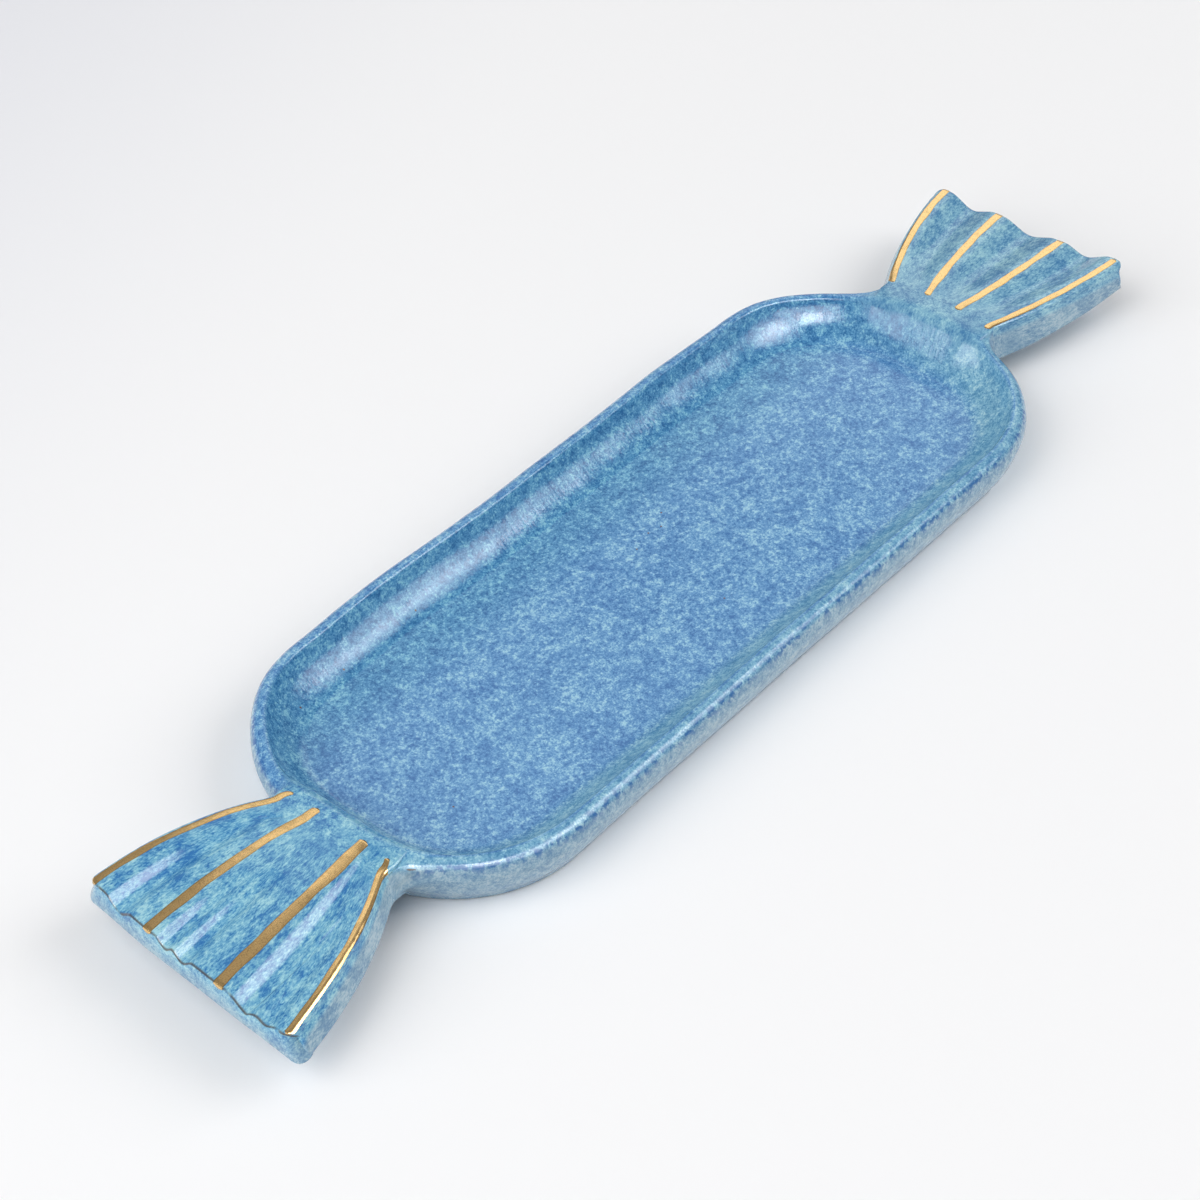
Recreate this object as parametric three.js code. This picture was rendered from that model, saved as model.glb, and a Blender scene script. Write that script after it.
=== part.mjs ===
// Ceramic platter in the shape of a wrapped sweet: a long shallow dish with a pleated fan tail
// luted to each end, and lines of gold lustre brushed along the crests of the pleats.
// Millimetres, +Z up. The origin is on the table under the middle of the dish, +X runs along the dish.
import * as THREE from "three";

// Dish
const DISH_HALF_LENGTH = 147.8;
const DISH_HALF_WIDTH = 54.9;
const DISH_CORNER_RADIUS = 47.6;
const RIM_HEIGHT = 19;
const RIM_WIDTH = 5.2;
const RIM_OUTER_ROUND = 2.6;
const RIM_INNER_ROUND = 1.4;
const FLOOR_HEIGHT = 7.5;
const COVE_RUN = 12.3;
const COVE_LEAN_DEG = 20;
const COVE_TOP_PULL = 5.2;
const COVE_FOOT_PULL = 3.6;
const FOOT_INSET = 6.3;
const FOOT_ROUND = 1.4;
const WALL_BULGE = 0.7;

// Necks, where each end wall of the dish runs up and out to a joint face
const NECK_HALF_WIDTH = 20.4;
const NECK_RISE = 3;
const NECK_SLOPE = 1.8;
const NECK_THICKNESS = 12.8;
const NECK_REACH = 1.6;
const NECK_OFFSET = 4.8;
const NECK_FILLET = 9.5;
const NECK_CREASE_INSET = 3;
const NECK_CREASE_ROUND = 5;
const NECK_CREASE_END_DEG = 35;
const NECK_WALL_INSET = 1.2;
const SCOOP_INSIDE = 6;
const SCOOP_OUTSIDE = 11;

// Tails, laid out along +X, with places across them measured from their centre line, +Y first
const JOINT_GAP = 0.3;
const TAIL_LENGTH = 57.6;
const RIGHT_END_HALF_WIDTH = 36;
const LEFT_END_HALF_WIDTH = 40;
const RIGHT_RIDGE_MARGIN = 2;
const LEFT_RIDGE_MARGIN = 3;
const TAIL_END_RISE = 1.3;
const TAIL_END_THICKNESS = 7.1;
const TAIL_ARCH = 0.8;
const TAIL_END_OFFSET = 7.2;
const TAIL_NECK_EDGE_ROUND = 0.6;
const TAIL_EDGE_ROUND = 2;
const TAIL_END_ROUND = 0.9;
const TAIL_CORNER_ROUND = 3.2;
const TAIL_FLARE_BOW = 0.65;
const HEM_END_THICKNESS = 9.7;
const HEM_WIDTH = 8;
const HEM_SPREAD = 2.4;
const END_RIDGE_MARGIN = 3;
const VALLEY_DEPTH = 2.6;
const VALLEY_PINCH = 1.7;
const VALLEY_SHARPNESS = 3;
const VALLEY_START = 0.12;

// Gold lustre lines
const LINE_WIDTH = 2.6;
const LINE_THICKNESS = 0.35;
const LINE_GAP = 0.2;
const LINE_END_MARGIN = 1.4;
const RIGHT_LINE_START = 0.8;
const LEFT_LINE_START = -3.6;

// The two tails: inner ridges as shares of the half width there, ridge lengths as shares of the tail's length
const TAILS = [
  {
    side: "right",
    turn: 0,
    endHalfWidth: RIGHT_END_HALF_WIDTH,
    neckRidgeMargin: RIGHT_RIDGE_MARGIN,
    neckRidges: [0.225, -0.38],
    endRidges: [0.3, -0.38],
    ridgeLengths: [1, 0.993, 1.003, 1.017],
    lineStart: RIGHT_LINE_START,
  },
  {
    side: "left",
    turn: Math.PI,
    endHalfWidth: LEFT_END_HALF_WIDTH,
    neckRidgeMargin: LEFT_RIDGE_MARGIN,
    neckRidges: [0.44, -0.43],
    endRidges: [0.295, -0.38],
    ridgeLengths: [1.017, 1, 0.991, 0.951],
    lineStart: LEFT_LINE_START,
  },
];

// Facets
const NECK_STEPS = 8;
const FILLET_STEPS = 5;
const CORNER_STEPS = 9;
const SIDE_STEPS = 8;
const ROUND_STEPS = 3;
const WALL_STEPS = 3;
const COVE_STEPS = 6;
const BAY_STEPS = 6;
const TAIL_STEPS = 12;
const LINE_STEPS = 10;
const LINE_CROSS_STEPS = 4;

// Finishes
const GLAZE = { color: 0x5f97c6, roughness: 0.22, metalness: 0 };
const TAIL_GLAZE = { color: 0x66a0cb, roughness: 0.25, metalness: 0 };
const LUSTRE = { color: 0xc9973f, roughness: 0.3, metalness: 1 };

const { lerp, smoothstep, clamp, degToRad } = THREE.MathUtils;
const cornerRadius = Math.min(DISH_CORNER_RADIUS, DISH_HALF_WIDTH);
const cornerFlat = DISH_HALF_WIDTH - cornerRadius;
const neckHeight = RIM_HEIGHT + NECK_RISE;
const neckUnderside = neckHeight - NECK_THICKNESS;
const tailEndHeight = RIM_HEIGHT + TAIL_END_RISE;
const tailX = DISH_HALF_LENGTH + NECK_REACH + JOINT_GAP;

// Evenly spaced values from start to end, both included
function spread(start, end, steps) {
  return Array.from({ length: steps + 1 }, (_, i) => lerp(start, end, i / steps));
}

// Points [inset, height] on a round of one radius, with angles in degrees
function round(centreInset, centreHeight, radius, start, end) {
  return spread(degToRad(start), degToRad(end), ROUND_STEPS).map((angle) => [
    centreInset + radius * Math.cos(angle),
    centreHeight + radius * Math.sin(angle),
  ]);
}

// Triangles that fill a closed loop, each anticlockwise
function fillLoop(loop) {
  return THREE.ShapeUtils.triangulateShape(loop, []).map(([a, b, c]) => {
    const across = loop[b].clone().sub(loop[a]);
    const turnsLeft = across.cross(loop[c].clone().sub(loop[a])) > 0;
    return turnsLeft ? [a, b, c] : [a, c, b];
  });
}

// A closed body through a row of loops, with both ends filled; flatten lays an end loop out in its plane
function loft(loops, flatten) {
  const count = loops[0].length;
  const lastRow = (loops.length - 1) * count;
  const index = [];
  for (let row = 0; row < lastRow; row += count) {
    for (let i = 0; i < count; i++) {
      const next = (i + 1) % count;
      index.push(row + i, row + next, row + count + next);
      index.push(row + i, row + count + next, row + count + i);
    }
  }
  for (const [a, b, c] of fillLoop(loops[0].map(flatten))) {
    index.push(a, c, b);
  }
  for (const [a, b, c] of fillLoop(loops.at(-1).map(flatten))) {
    index.push(lastRow + a, lastRow + b, lastRow + c);
  }
  const geometry = new THREE.BufferGeometry().setFromPoints(loops.flat());
  geometry.setIndex(index);
  geometry.computeVertexNormals();
  return geometry;
}

const seenFromAbove = (p) => new THREE.Vector2(p.x, p.y);
const seenFromEnd = (p) => new THREE.Vector2(p.y, p.z);

// Share of the neck's outer form beside it: a concave fillet, round in plan, between neck and outline
function filletShare(outside) {
  const left = 1 - clamp(outside / NECK_FILLET, 0, 1);
  return 1 - Math.sqrt(1 - left * left);
}

// The dish's outline at its +X end: point, outward normal, and shares there of the neck's top, of its
// underside, which is wider, and of the scoop inside it
function endStation(y) {
  const sine = clamp((Math.abs(y) - cornerFlat) / cornerRadius, 0, 1);
  const normal = new THREE.Vector2(Math.sqrt(1 - sine * sine), Math.sign(y) * sine);
  const x = DISH_HALF_LENGTH - cornerRadius + cornerRadius * normal.x;
  const outside = Math.abs(y - NECK_OFFSET) - NECK_HALF_WIDTH;
  return {
    point: new THREE.Vector2(x, y),
    normal,
    neck: filletShare(outside),
    underside: filletShare(outside - HEM_SPREAD),
    scoop: 1 - smoothstep(outside, -SCOOP_INSIDE, SCOOP_OUTSIDE),
  };
}

// A place on a long side of the dish
function sideStation(x) {
  return {
    point: new THREE.Vector2(x, DISH_HALF_WIDTH),
    normal: new THREE.Vector2(0, 1),
    neck: 0,
    underside: 0,
    scoop: 0,
  };
}

// Places across the end, round one corner from the long side in to the neck's fillet
function cornerPlaces(innerPlace) {
  const innerAngle = Math.asin(clamp((Math.abs(innerPlace) - cornerFlat) / cornerRadius, 0, 1));
  const angles = spread(Math.PI / 2, innerAngle, CORNER_STEPS);
  return angles.map((angle) => Math.sign(innerPlace) * (cornerFlat + cornerRadius * Math.sin(angle)));
}

// Places across the fillet beside a neck, closest together where it leaves the neck
function filletPlaces(neckEdge, direction) {
  const angles = spread(0, Math.PI / 2, FILLET_STEPS);
  return angles.map((angle) => neckEdge + direction * NECK_FILLET * (1 - Math.cos(angle)));
}

// Stations round the dish, anticlockwise: one end and one long side, then both again turned half round
function dishStations() {
  const low = NECK_OFFSET - NECK_HALF_WIDTH;
  const high = NECK_OFFSET + NECK_HALF_WIDTH;
  const straight = DISH_HALF_LENGTH - cornerRadius;
  const half = [
    ...cornerPlaces(low - NECK_FILLET).slice(0, -1).map(endStation),
    ...filletPlaces(low, -1).reverse().slice(0, -1).map(endStation),
    ...spread(low, high, NECK_STEPS).slice(0, -1).map(endStation),
    ...filletPlaces(high, 1).slice(0, -1).map(endStation),
    ...cornerPlaces(high + NECK_FILLET).reverse().map(endStation),
    ...spread(straight, -straight, SIDE_STEPS).slice(1, -1).map(sideStation),
  ];
  const turned = half.map((station) => ({
    ...station,
    point: station.point.clone().negate(),
    normal: station.normal.clone().negate(),
  }));
  return [...half, ...turned];
}

// The rounded edge of the foot, then the outer wall in steps up to a given place
function footAndWall(topInset, topHeight, bulge) {
  const foot = round(FOOT_INSET + FOOT_ROUND, FOOT_ROUND, FOOT_ROUND, 270, 180);
  const wall = spread(0, 1, WALL_STEPS).slice(1, -1).map((share) => [
    lerp(FOOT_INSET, topInset, share) - bulge,
    lerp(FOOT_ROUND, topHeight, share),
  ]);
  return [...foot, ...wall];
}

// The inner wall from the end of a rounded edge, at its lean there, down a long slope to the flat floor
function cove(edge, leanDeg) {
  const [topInset, topHeight] = edge.at(-1);
  const lean = degToRad(leanDeg);
  const footInset = RIM_WIDTH + COVE_RUN;
  const slope = new THREE.CubicBezierCurve(
    new THREE.Vector2(topInset, topHeight),
    new THREE.Vector2(topInset + COVE_TOP_PULL * Math.sin(lean), topHeight - COVE_TOP_PULL * Math.cos(lean)),
    new THREE.Vector2(footInset - COVE_FOOT_PULL, FLOOR_HEIGHT),
    new THREE.Vector2(footInset, FLOOR_HEIGHT),
  );
  return slope.getPoints(COVE_STEPS).slice(1).map((p) => p.toArray());
}

// Section of the dish's wall as [inset, height]: up the outside, over the rim, down inside to the floor
function wallSection() {
  const shoulder = RIM_HEIGHT - RIM_OUTER_ROUND;
  const [outerEdge, ...crest] = round(RIM_OUTER_ROUND, shoulder, RIM_OUTER_ROUND, 180, 90);
  const innerInset = RIM_WIDTH - RIM_INNER_ROUND;
  const innerHeight = RIM_HEIGHT - RIM_INNER_ROUND;
  const innerEdge = round(innerInset, innerHeight, RIM_INNER_ROUND, 90, COVE_LEAN_DEG);
  return {
    outside: [...footAndWall(0, shoulder, WALL_BULGE), outerEdge],
    crest,
    inside: [...innerEdge, ...cove(innerEdge, COVE_LEAN_DEG)],
  };
}

// Height of a neck's top at a place across from its centre: it falls away towards +Y
function neckTop(v) {
  const share = clamp(v / NECK_HALF_WIDTH, 0, 1);
  return neckHeight - NECK_SLOPE * share * share;
}

// Section through a neck, in the same parts: up to the underside, round the joint face, in over the crease
function neckSection(top) {
  const creaseHeight = top - NECK_CREASE_ROUND;
  const crease = round(NECK_CREASE_INSET, creaseHeight, NECK_CREASE_ROUND, 90, NECK_CREASE_END_DEG);
  return {
    outside: [...footAndWall(NECK_WALL_INSET, neckUnderside, 0), [NECK_WALL_INSET, neckUnderside]],
    crest: [
      [-NECK_REACH, neckUnderside],
      [-NECK_REACH, top],
      [0, top],
    ],
    inside: [...crease, ...cove(crease, NECK_CREASE_END_DEG)],
  };
}

// One column of the dish's skin at a station, from the foot over the rim or the neck to the floor
function dishColumn({ point, normal, neck, underside, scoop }) {
  const end = Math.sign(point.x);
  const wall = wallSection();
  const joint = neckSection(neckTop(end * point.y - NECK_OFFSET));
  const onOutline = ([inset, height]) =>
    new THREE.Vector3(point.x - inset * normal.x, point.y - inset * normal.y, height);
  const onJoint = ([inset, height]) => new THREE.Vector3(end * (DISH_HALF_LENGTH - inset), point.y, height);
  const crestShares = [underside, neck, neck];
  return [
    ...wall.outside.map((p, i) => onOutline(p).lerp(onOutline(joint.outside[i]), underside)),
    ...wall.crest.map((p, i) => onOutline(p).lerp(onJoint(joint.crest[i]), crestShares[i])),
    ...wall.inside.map((p, i) => onOutline(p).lerp(onOutline(joint.inside[i]), scoop)),
  ];
}

// The dish: its wall section carried round the outline, turning into the neck section at each end
function dishGeometry() {
  const columns = dishStations().map(dishColumn);
  const loops = columns[0].map((_, i) => columns.map((column) => column[i]));
  return loft(loops, seenFromAbove);
}

// A width at share t along a tail: the fan opens fastest near the neck
function flared(neckWidth, endWidth, t) {
  return lerp(neckWidth, endWidth, t + TAIL_FLARE_BOW * t * (1 - t));
}

// Half width of a tail to its side face, and the round of that face's edges, at share t along it
const sidePlace = (tail, t) => flared(NECK_HALF_WIDTH, tail.endHalfWidth, t);
const edgeRound = (t) => lerp(TAIL_NECK_EDGE_ROUND, TAIL_EDGE_ROUND, smoothstep(t, 0, 1));

// Places of the four ridges: one along each side, and two between
function ridgePlaces(tail, t) {
  const outer = sidePlace(tail, t) - lerp(tail.neckRidgeMargin, END_RIDGE_MARGIN, t);
  const inner = tail.neckRidges.map((share, k) =>
    flared(share * NECK_HALF_WIDTH, tail.endRidges[k] * tail.endHalfWidth, t),
  );
  return [outer, ...inner, -outer];
}

// The bay between two ridges that holds a place across the tail, and the share of the way over it
function bayAt(places, v) {
  let bay = 0;
  while (bay < places.length - 2 && v < places[bay + 1]) {
    bay++;
  }
  return { bay, share: clamp((places[bay] - v) / (places[bay] - places[bay + 1]), 0, 1) };
}

// How far a pressed valley has opened, from 0 on a ridge to 1 in the middle of a bay at the tail's end
function valleyShare(t, share) {
  return smoothstep(t, VALLEY_START, 1) * Math.sin(Math.PI * share) ** VALLEY_SHARPNESS;
}

// How far a round edge of one radius has dropped away, at a place measured outwards from its far limit
function roundedOff(place, radius) {
  const over = clamp(place + radius, 0, radius);
  return radius - Math.sqrt(radius * radius - over * over);
}

// A point of the tail's top surface, at share t along it and place v across it
function topPoint(tail, t, v) {
  const along = clamp(t, 0, 1);
  const { bay, share } = bayAt(ridgePlaces(tail, t), v);
  const length = TAIL_LENGTH * lerp(tail.ridgeLengths[bay], tail.ridgeLengths[bay + 1], share);
  const side = sidePlace(tail, t);
  const edgeDrop = roundedOff(Math.abs(v) - side, edgeRound(t));
  const cornerShare = smoothstep(t * length, length - 2 * TAIL_CORNER_ROUND, length);
  const cornerDrop = cornerShare * roundedOff(Math.abs(v) - side, TAIL_CORNER_ROUND);
  const arch = TAIL_ARCH * (1 - (2 * along - 1) ** 2);
  const ridgeHeight = lerp(neckTop(v), tailEndHeight, along) + arch;
  const height = ridgeHeight - VALLEY_DEPTH * valleyShare(t, share) - edgeDrop;
  const x = tailX + t * length - cornerDrop;
  return new THREE.Vector3(x, lerp(NECK_OFFSET, TAIL_END_OFFSET, t) + v, height);
}

// Height of the tail's underside: turned down in a hem along each side, and pinched up under the valleys
function undersideHeight(tail, t, v) {
  const { share } = bayAt(ridgePlaces(tail, t), v);
  const side = sidePlace(tail, t);
  const pinch = VALLEY_PINCH * valleyShare(t, share);
  const middle = lerp(neckUnderside, tailEndHeight - TAIL_END_THICKNESS, t) + pinch;
  const hem = lerp(neckUnderside, tailEndHeight - HEM_END_THICKNESS, t);
  return lerp(middle, hem, smoothstep(Math.abs(v), side - HEM_WIDTH, side));
}

// Places across a section from +Y to -Y: a rounded edge, the bays between ridges, and the other edge
function sectionPlaces(tail, t) {
  const places = ridgePlaces(tail, t);
  const side = sidePlace(tail, t);
  const radius = edgeRound(t);
  const edge = spread(0, Math.PI / 2, ROUND_STEPS).map((angle) => side - radius + radius * Math.cos(angle));
  const bays = places.slice(1).flatMap((place, k) => spread(places[k], place, BAY_STEPS).slice(0, -1));
  return [...edge, ...bays, places.at(-1), ...edge.map((place) => -place).reverse()];
}

// One closed section of a tail, pulled in all round by an inset where the end is rounded over
function tailSection(tail, t, inset) {
  const side = sidePlace(tail, t);
  const radius = edgeRound(t);
  const top = sectionPlaces(tail, t).map((v) => {
    const point = topPoint(tail, t, v);
    point.y -= (v / side) * inset;
    point.z -= inset;
    return point;
  });
  const underside = sectionPlaces(tail, t).map((v, i) => {
    const edgeRise = roundedOff(Math.abs(v) - side, radius);
    const point = top[i].clone().setZ(undersideHeight(tail, t, v) + edgeRise + inset);
    point.y += (v / side) * HEM_SPREAD;
    return point;
  });
  return [...top, ...underside.reverse()];
}

// A tail: sections from the joint face to the start of the end's round, then over the round
function tailGeometry(tail) {
  const roundShare = TAIL_END_ROUND / TAIL_LENGTH;
  const body = spread(0, 1 - roundShare, TAIL_STEPS).map((t) => tailSection(tail, t, 0));
  const end = spread(0, Math.PI / 2, ROUND_STEPS).slice(1).map((angle) => {
    const t = 1 - roundShare * (1 - Math.sin(angle));
    return tailSection(tail, t, TAIL_END_ROUND * (1 - Math.cos(angle)));
  });
  return loft([...body, ...end], seenFromEnd);
}

// A gold line: a thin strip that follows one ridge of a tail, just above its surface
function lineGeometry(tail, ridge) {
  const length = TAIL_LENGTH * tail.ridgeLengths[ridge];
  const shares = spread(tail.lineStart / length, 1 - LINE_END_MARGIN / length, LINE_STEPS);
  const loops = shares.map((t) => {
    const centre = ridgePlaces(tail, t)[ridge];
    const across = spread(centre + LINE_WIDTH / 2, centre - LINE_WIDTH / 2, LINE_CROSS_STEPS);
    const under = across.map((v) => topPoint(tail, t, v).add(new THREE.Vector3(0, 0, LINE_GAP)));
    const over = under.map((p) => p.clone().add(new THREE.Vector3(0, 0, LINE_THICKNESS)));
    return [...over, ...under.reverse()];
  });
  return loft(loops, seenFromEnd);
}

// A named piece of the platter
function piece(name, geometry, finish) {
  const mesh = new THREE.Mesh(geometry, new THREE.MeshStandardMaterial(finish));
  mesh.name = name;
  return mesh;
}

const platter = new THREE.Group();
platter.add(piece("dish", dishGeometry(), GLAZE));
for (const tail of TAILS) {
  const end = new THREE.Group();
  end.rotation.z = tail.turn;
  end.add(piece(`${tail.side}_tail`, tailGeometry(tail), TAIL_GLAZE));
  tail.ridgeLengths.forEach((_, ridge) => {
    end.add(piece(`gold_line_${tail.side}_${ridge + 1}`, lineGeometry(tail, ridge), LUSTRE));
  });
  platter.add(end);
}

export default platter;
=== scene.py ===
"""Looks of the glazed platter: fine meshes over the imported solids, glaze, gold lustre, light and camera.

Lengths are in millimetres until a mesh is made, and MM turns them into metres.
"""

import math

import bpy
from mathutils import Matrix, Vector, noise


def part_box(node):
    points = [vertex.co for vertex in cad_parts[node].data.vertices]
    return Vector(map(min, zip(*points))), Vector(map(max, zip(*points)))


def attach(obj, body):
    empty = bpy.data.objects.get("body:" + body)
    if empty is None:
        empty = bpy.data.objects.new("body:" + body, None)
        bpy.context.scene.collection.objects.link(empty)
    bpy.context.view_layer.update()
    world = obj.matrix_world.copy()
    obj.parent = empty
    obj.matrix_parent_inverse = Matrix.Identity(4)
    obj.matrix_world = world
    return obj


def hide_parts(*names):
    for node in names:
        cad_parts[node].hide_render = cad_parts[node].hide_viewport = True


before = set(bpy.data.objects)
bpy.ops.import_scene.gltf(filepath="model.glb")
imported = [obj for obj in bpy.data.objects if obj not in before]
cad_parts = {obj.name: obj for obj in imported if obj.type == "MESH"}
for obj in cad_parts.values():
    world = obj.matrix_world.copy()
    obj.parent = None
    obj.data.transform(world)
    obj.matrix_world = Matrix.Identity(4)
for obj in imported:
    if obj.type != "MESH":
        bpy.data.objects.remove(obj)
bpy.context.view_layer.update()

MM = 0.001

# A length in millimetres that is too small to see
TINY = 0.001

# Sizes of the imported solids
NECK_REACH = 1.6
JOINT_GAP = 0.3
dish_top_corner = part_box("dish")[1] / MM
DISH_HALF_LENGTH = dish_top_corner.x - NECK_REACH
DISH_HALF_WIDTH = dish_top_corner.y
NECK_HEIGHT = dish_top_corner.z
JOINT_X = DISH_HALF_LENGTH + NECK_REACH + JOINT_GAP / 2

# Dish
CORNER_RADIUS = 47.6
RIM_HEIGHT = 19.0
RIM_WIDTH = 5.6
RIM_OUTER_RUN = 4.1
RIM_OUTER_DROP = 5.4
RIM_INNER_ROUND = 1.5
# Painted sheen on the rim: towards -Y it takes the paler wall blues
RIM_SHEEN = 0.8
RIM_SHEEN_START = 20.0
FLOOR_HEIGHT = 7.5
COVE_RUN = 11.9
COVE_LEAN = math.radians(20)
COVE_TOP_PULL = 5.2
COVE_FOOT_PULL = 3.6
FOOT_INSET = 4.7
FOOT_ROUND = 1.4
WALL_BULGE = 0.8
BASE_RING = 3.0
FLOOR_RINGS = (2.0, 5.0, 10.0)
CORNER_FLAT = DISH_HALF_WIDTH - CORNER_RADIUS

# Necks
NECK_SLOPE = 1.8
NECK_THICKNESS = 12.8
NECK_OFFSET = 4.8
NECK_CREASE_INSET = 3.0
NECK_CREASE_ROUND = 5.0
NECK_CREASE_END = math.radians(35)
NECK_WALL_BEND = ((3.0, 5.5), (1.8, 9.2))
SCOOP_INSIDE = 6.0
SCOOP_OUTSIDE = 11.0
NECK_UNDERSIDE = NECK_HEIGHT - NECK_THICKNESS

# Tails
TAIL_RISE = 1.3
TAIL_END_HEIGHT = RIM_HEIGHT + TAIL_RISE
TAIL_ARCH = 0.8
TAIL_END_OFFSET = 7.2
EDGE_ROUND = (1.4, 2.0)
TAIL_END_ROUND = 0.9
TAIL_CORNER_ROUND = 3.2
EDGE_BREAK = 0.012
EDGE_BREAK_FULL = EDGE_BREAK / 2
EDGE_BREAK_FADE = EDGE_BREAK / 6
TAIL_FLARE_BOW = 0.65
FLARE_EASE = 0.05
HEM_END_THICKNESS = 9.7
HEM_WIDTH = 8.0
HEM_SPREAD = 2.4
SIDE_BULGE = 0.5
SIDE_BULGE_START = 0.3
DENT_BEND = 0.3

# Each tail as it lies along +X, before its turn. Pairs give the +Y side first, and ridges, bays and lines
# run from +Y to -Y. A dent is its depth, its centre and half width as shares of its bay, and the share
# along the tail where it starts. A fold is its depth and half width, then its start and its end, each as
# a share along the tail and a share across the bay.
TAILS = {
    "right": {
        "turn": 0.0,
        "neck": (20.4, 22.8),
        "fillets": (13.0, 8.0),
        "ends": (36.0, 37.0),
        "hems": (2.4, 1.4),
        "thickness": 7.1,
        "pinch": 0.5,
        "neck_margins": (1.7, 2.0),
        "end_margins": (3.0, 3.6),
        "neck_ridges": (4.6, -7.8),
        "end_ridges": (10.8, -13.7),
        "lengths": (57.6, 57.2, 57.8, 61.4),
        "dents": (
            ((3.1, 0.5, 0.44, 0.0),),
            ((3.1, 0.5, 0.44, 0.0),),
            ((2.8, 0.48, 0.42, 0.05),),
        ),
        "folds": ((), (), ()),
        "line_starts": (0.8, 0.8, 0.8, -1.3),
        "line_widths": (2.5, 2.7, 2.6, 2.3),
        "line_drips": (1.1, 1.1, 1.1, -1.2),
    },
    "left": {
        "turn": math.pi,
        "neck": (22.0, 20.4),
        "fillets": (11.0, 6.0),
        "ends": (39.0, 40.0),
        "hems": (3.4, 2.4),
        "thickness": 9.4,
        "pinch": 0.0,
        "neck_margins": (1.3, 2.4),
        "end_margins": (1.8, 2.4),
        "neck_ridges": (11.0, -7.4),
        "end_ridges": (12.4, -15.0),
        "lengths": (57.0, 56.2, 55.2, 53.2),
        "dents": (
            ((2.9, 0.6, 0.25, -0.1), (1.9, 0.3, 0.18, 0.2)),
            ((3.0, 0.52, 0.17, 0.35), (2.6, 0.76, 0.14, 0.45)),
            ((3.4, 0.55, 0.26, 0.1),),
        ),
        "folds": (
            ((0.8, 0.055, (0.25, 0.3), (1.2, 0.66)),),
            (),
            ((0.6, 0.09, (0.08, 0.36), (0.2, 0.7)),),
        ),
        "line_starts": (-3.6, -3.6, -3.6, -3.6),
        "line_widths": (2.4, 3.3, 2.9, 2.2),
        "line_drips": (-0.4, 1.1, 1.1, 0.4),
    },
}

# Hand-made unevenness; each swell is its wavelength and height
HAND_SEED = 5
SWELLS = ((38.0, 0.32), (13.0, 0.10))
COVE_SWELL_LENGTH = 11.0
COVE_SWELL = 0.22

# Outward swell of the long +Y side, and the bulges on it: place along it, reach and height
SIDE_SWELL = 2.0
SIDE_SWELL_END = (140.0, 112.0)
SIDE_SWELL_START = (12.0, 36.0)
SIDE_BULGES = ((-66.0, 45.0, 1.4), (60.0, 40.0, 0.9))

# Gold lines
LINE_RISE = 0.03
LINE_EDGE = 0.06
LINE_ROOT = 0.5
LINE_WOBBLE = 0.28
LINE_WOBBLE_LENGTH = 9.0
LINE_WIDTH_SWING = 0.22
LINE_TIP = 0.6
LINE_TIP_ROUND = 0.9

# Shifts of the lines' noise from ridge to ridge, from tail to tail, and from sway to width
RIDGE_SHIFT = 17.0
TAIL_SHIFT = 31.0
WIDTH_SHIFT = 5.0

# Short steps that find the slope of the skin under a line
PROBE_AHEAD = 0.2
PROBE_BESIDE = 0.1

# Steps
NECK_EDGE_STEPS = 6
BAY_STEPS = 60
FILLET_STEPS = 16
CORNER_STEPS = 44
LONG_SIDE_STEPS = 160
FOOT_STEPS = 4
WALL_STEPS = 9
CREST_STEPS = 14
SHOULDER_ROWS = CREST_STEPS / 3
SHOULDER_STEPS = 2
EDGE_STEPS = 7
COVE_STEPS = 20
TAIL_STEPS = 96
TAIL_END_STEPS = 6
LINE_STEPS = 90
LINE_ACROSS = 8

# Zones of the glaze: a drop below the top, a share along a tail, a share of neck, a stretch along the flow
OUTSIDE_DROP = (1.0, 2.6)
TAIL_BLEND = 0.2
FULL_NECK = 0.999
FLOW_STRETCH = 0.45


def lerp(start, end, share):
    return start + (end - start) * share


def clamp(value, low=0.0, high=1.0):
    return max(low, min(high, value))


def smoothstep(value, low, high):
    share = clamp((value - low) / (high - low))
    return share * share * (3 - 2 * share)


def spread(start, end, steps):
    """Evenly spaced values from start to end, both included."""
    return [lerp(start, end, i / steps) for i in range(steps + 1)]


def arc(centre_inset, centre_height, radius, start, end, steps):
    """Points (inset, height) on a round of one radius, with angles in radians."""
    return [
        (centre_inset + radius * math.cos(a), centre_height + radius * math.sin(a))
        for a in spread(start, end, steps)
    ]


def bezier(points, share):
    """A point on the curve that a list of control points describes."""
    while len(points) > 1:
        points = [
            tuple(lerp(a, b, share) for a, b in zip(p, q)) for p, q in zip(points, points[1:])
        ]
    return points[0]


def hand(point):
    """A point moved by the slow unevenness of hand-worked clay; the resting face stays flat."""
    moved = point.copy()
    for length, height in SWELLS:
        moved += noise.noise_vector(point / length + Vector((length, 0, 0))) * height
    moved.z = lerp(point.z, moved.z, smoothstep(point.z, 0.0, FOOT_ROUND * 2))
    swell = SIDE_SWELL * smoothstep(-abs(point.x), *(-end for end in SIDE_SWELL_END))
    for place, reach, height in SIDE_BULGES:
        swell += height * math.cos(math.pi / 2 * clamp(abs(point.x - place) / reach)) ** 2
    moved.y += swell * smoothstep(point.y, *SIDE_SWELL_START)
    return moved


def rounded_off(place, radius):
    """How far a round edge has dropped away, at a place measured outwards from its far limit."""
    over = clamp(place + radius, 0.0, radius)
    return radius - math.sqrt(radius * radius - over * over)


# Tails


def flared(neck_width, end_width, t):
    """A width at share t along a tail: it leaves the neck square, then opens fast and steadies."""
    share = t + TAIL_FLARE_BOW * t * (1 - t)
    ease = (1 + TAIL_FLARE_BOW) * t * math.exp(-abs(t) / FLARE_EASE)
    return lerp(neck_width, end_width, share - ease)


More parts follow.
